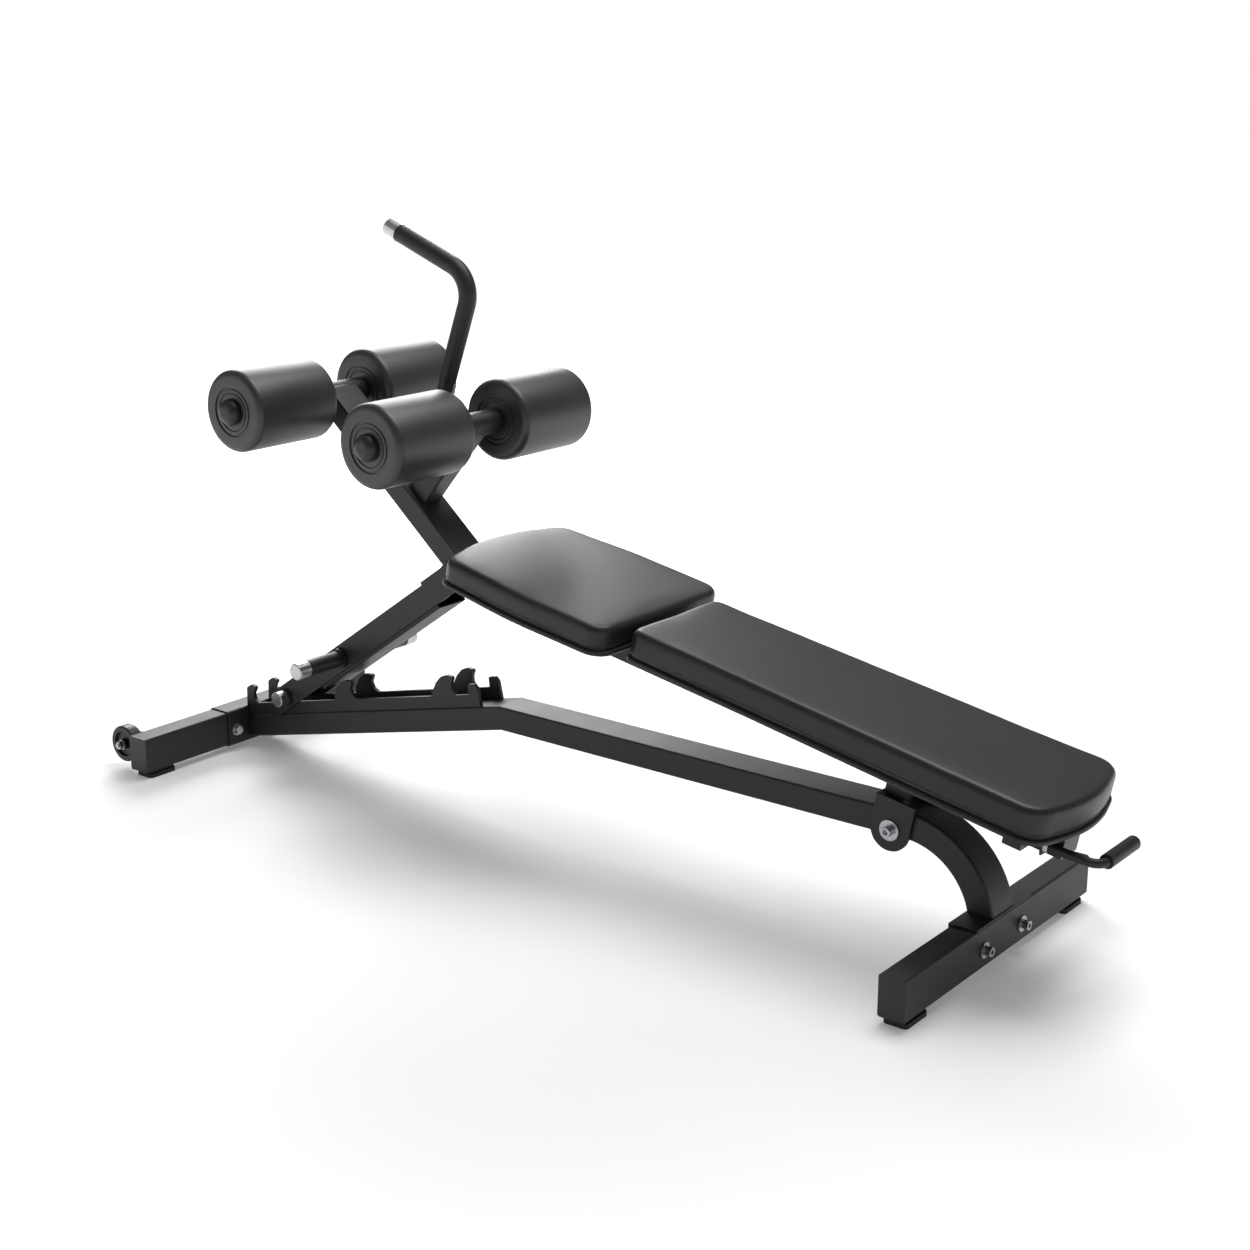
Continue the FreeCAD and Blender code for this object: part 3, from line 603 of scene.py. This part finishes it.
seat_rim = rim("seat_rim", SEAT_CORNERS, SEAT_LOW)
back_rim = rim("back_rim", BACK_CORNERS, BACK_LOW)
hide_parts("seat_pad")
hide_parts("back_pad")

# %% [markdown]
# ## The foam rollers
# A roller is foam on a plastic core that turns on a steel spindle. It starts
# as a cylinder. Both rims are rounded with a wide bevel, and the outer end
# is worked with inset and extrude: a flat ring, a groove, and a raised disc.

# %% One roller
ROLLER_RADIUS = 82.3 * MM
ROLLER_LONG = 215 * MM


def step_face(piece, along, inset, push, where=None):
    """Inset the end face that looks along +Y or -Y, then push it in or out."""
    faces = [f for f in piece.data.polygons if f.normal.y * along > 0.99]
    centre = min((f for f in faces), key=lambda f: Vector((f.center.x, 0, f.center.z)).length)
    here = centre.center.copy()
    pick(piece, "FACE", lambda c, n: (c - here).length < 0.0005)
    bpy.ops.mesh.inset(thickness=inset)
    if push:
        bpy.ops.mesh.extrude_region_move(TRANSFORM_OT_translate={"value": (0, along * push, 0)})
    only(piece)


def make_roller():
    bpy.ops.object.select_all(action="DESELECT")
    bpy.ops.mesh.primitive_cylinder_add(
        vertices=96,
        radius=ROLLER_RADIUS,
        depth=ROLLER_LONG,
        rotation=(math.pi / 2, 0, 0),
    )
    piece = done(bpy.context.object)
    pick(piece, "EDGE", lambda c, d: abs(abs(c.y) - ROLLER_LONG / 2) < 0.0005)
    bpy.ops.mesh.bevel(offset=15 * MM, segments=8, affect="EDGES")
    only(piece)
    for along in (1, -1):
        step_face(piece, along, 16 * MM, 0)
        step_face(piece, along, 1.5 * MM, -3 * MM)
        step_face(piece, along, 3 * MM, 0)
        step_face(piece, along, 1.5 * MM, 2.2 * MM)
        step_face(piece, along, 5 * MM, 0)
        step_face(piece, along, 1.2 * MM, -2 * MM)
        step_face(piece, along, 1.5 * MM, 0)
        step_face(piece, along, 1.2 * MM, 2 * MM)
        step_face(piece, along, 5 * MM, 0)
    pick(piece, "EDGE", lambda c, d: abs(c.y) > ROLLER_LONG / 2 - 4 * MM and abs(d.y) < 0.2
         and 10 * MM < Vector((c.x, 0, c.z)).length < 50 * MM
         and abs(d.dot(Vector((c.x, 0, c.z)).normalized())) < 0.2)
    bpy.ops.mesh.bevel(offset=0.7 * MM, segments=2, affect="EDGES")
    only(piece)
    bpy.ops.object.shade_smooth_by_angle(angle=math.radians(40))
    return piece


first_roller = make_roller()
rollers = []
for joint in frame["joints"]:
    if not joint["name"].endswith("roller_spin"):
        continue
    body = joint["child"]
    end, side, _ = body.split("_")
    piece = first_roller.copy()
    piece.data = first_roller.data.copy()
    bpy.context.collection.objects.link(piece)
    piece.name = f"{body}_skin"
    piece.data.transform(Matrix.Translation(Vector(joint["pos_m"])))
    give(piece, ROLLER_SKIN)
    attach(piece, body)
    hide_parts(f"{end}_roller_{side}_foam", f"{end}_roller_{side}_core")
    rollers.append(piece)
bpy.data.objects.remove(first_roller)
print("rollers:", [piece.name for piece in rollers])

# %% [markdown]
# ## Floor, light and camera
# The bench stands on a pale seamless floor that glows. The glow is dim under the bench as painted shade and bright
# further out, where the floor fades into the white backdrop. Large soft lights keep the shadows open, and the
# camera has a long lens, which keeps the feet and the hand hold in proportion.

# %% Floor
bpy.ops.object.select_all(action="DESELECT")
bpy.ops.mesh.primitive_plane_add(size=60)
floor = bpy.context.object
floor.name = "floor"
floor_paint, floor_shader = new_material("pale_floor_painted_glow", Roughness=0.7)
floor_shader.inputs["Base Color"].default_value = linear("F4F4F4")
floor_shader.inputs["Emission Color"].default_value = (1, 1, 1, 1)
# Painted shade and painted glow: the floor's emission is dim within 0.9 m of the middle, under the bench, and
# rises to full by 2.8 m.
spot = node(floor_paint, "ShaderNodeTexCoord").outputs["Object"]
reach = node(floor_paint, "ShaderNodeVectorMath", links={0: spot}, operation="LENGTH")
painted_shade_and_glow = node(
    floor_paint,
    "ShaderNodeMapRange",
    {"From Min": 0.9, "From Max": 2.8, "To Min": 0.16, "To Max": 0.84},
    {"Value": reach.outputs["Value"]},
    interpolation_type="SMOOTHSTEP",
)
join(floor_paint, painted_shade_and_glow.outputs["Result"], floor_shader, "Emission Strength")
give(floor, floor_paint)

# %% Lights
world = bpy.data.worlds.new("soft_studio")
bpy.context.scene.world = world
world.use_nodes = True
backdrop = node(world, "ShaderNodeLightPath")
brightness = node(
    world,
    "ShaderNodeMapRange",
    {"To Min": 0.26, "To Max": 1.0},
    {"Value": backdrop.outputs["Is Camera Ray"]},
)
sky = world.node_tree.nodes["Background"]
sky.inputs["Color"].default_value = (1, 1, 1, 1)
join(world, brightness.outputs["Result"], sky, "Strength")


def soft_light(name, place, aim, size, power):
    bpy.ops.object.light_add(type="AREA", location=place)
    lamp = bpy.context.object
    lamp.name = name
    lamp.data.size = size
    lamp.data.energy = power
    lamp.rotation_euler = (Vector(aim) - Vector(place)).to_track_quat("-Z", "Y").to_euler()
    return lamp


soft_light("key", (0.4, 1.1, 4.2), (0, -0.1, 0.2), 2.6, 120)
soft_light("back_left", (-4.0, 3.3, 3.1), (-0.7, 0, 0.5), 2.8, 215)
soft_light("fill", (-2.6, -3.6, 1.8), (-0.3, 0, 0.5), 2.0, 14)
bpy.context.scene.view_settings.view_transform = "Standard"

# %% Camera
bpy.ops.object.camera_add(location=(2.35293, -2.91236, 1.53131))
camera = bpy.context.object
camera.data.sensor_width = 36.0
camera.data.lens = 58.056
camera.rotation_euler = (math.radians(90 - 16.1671), 0, math.radians(37.97823))
bpy.context.scene.camera = camera
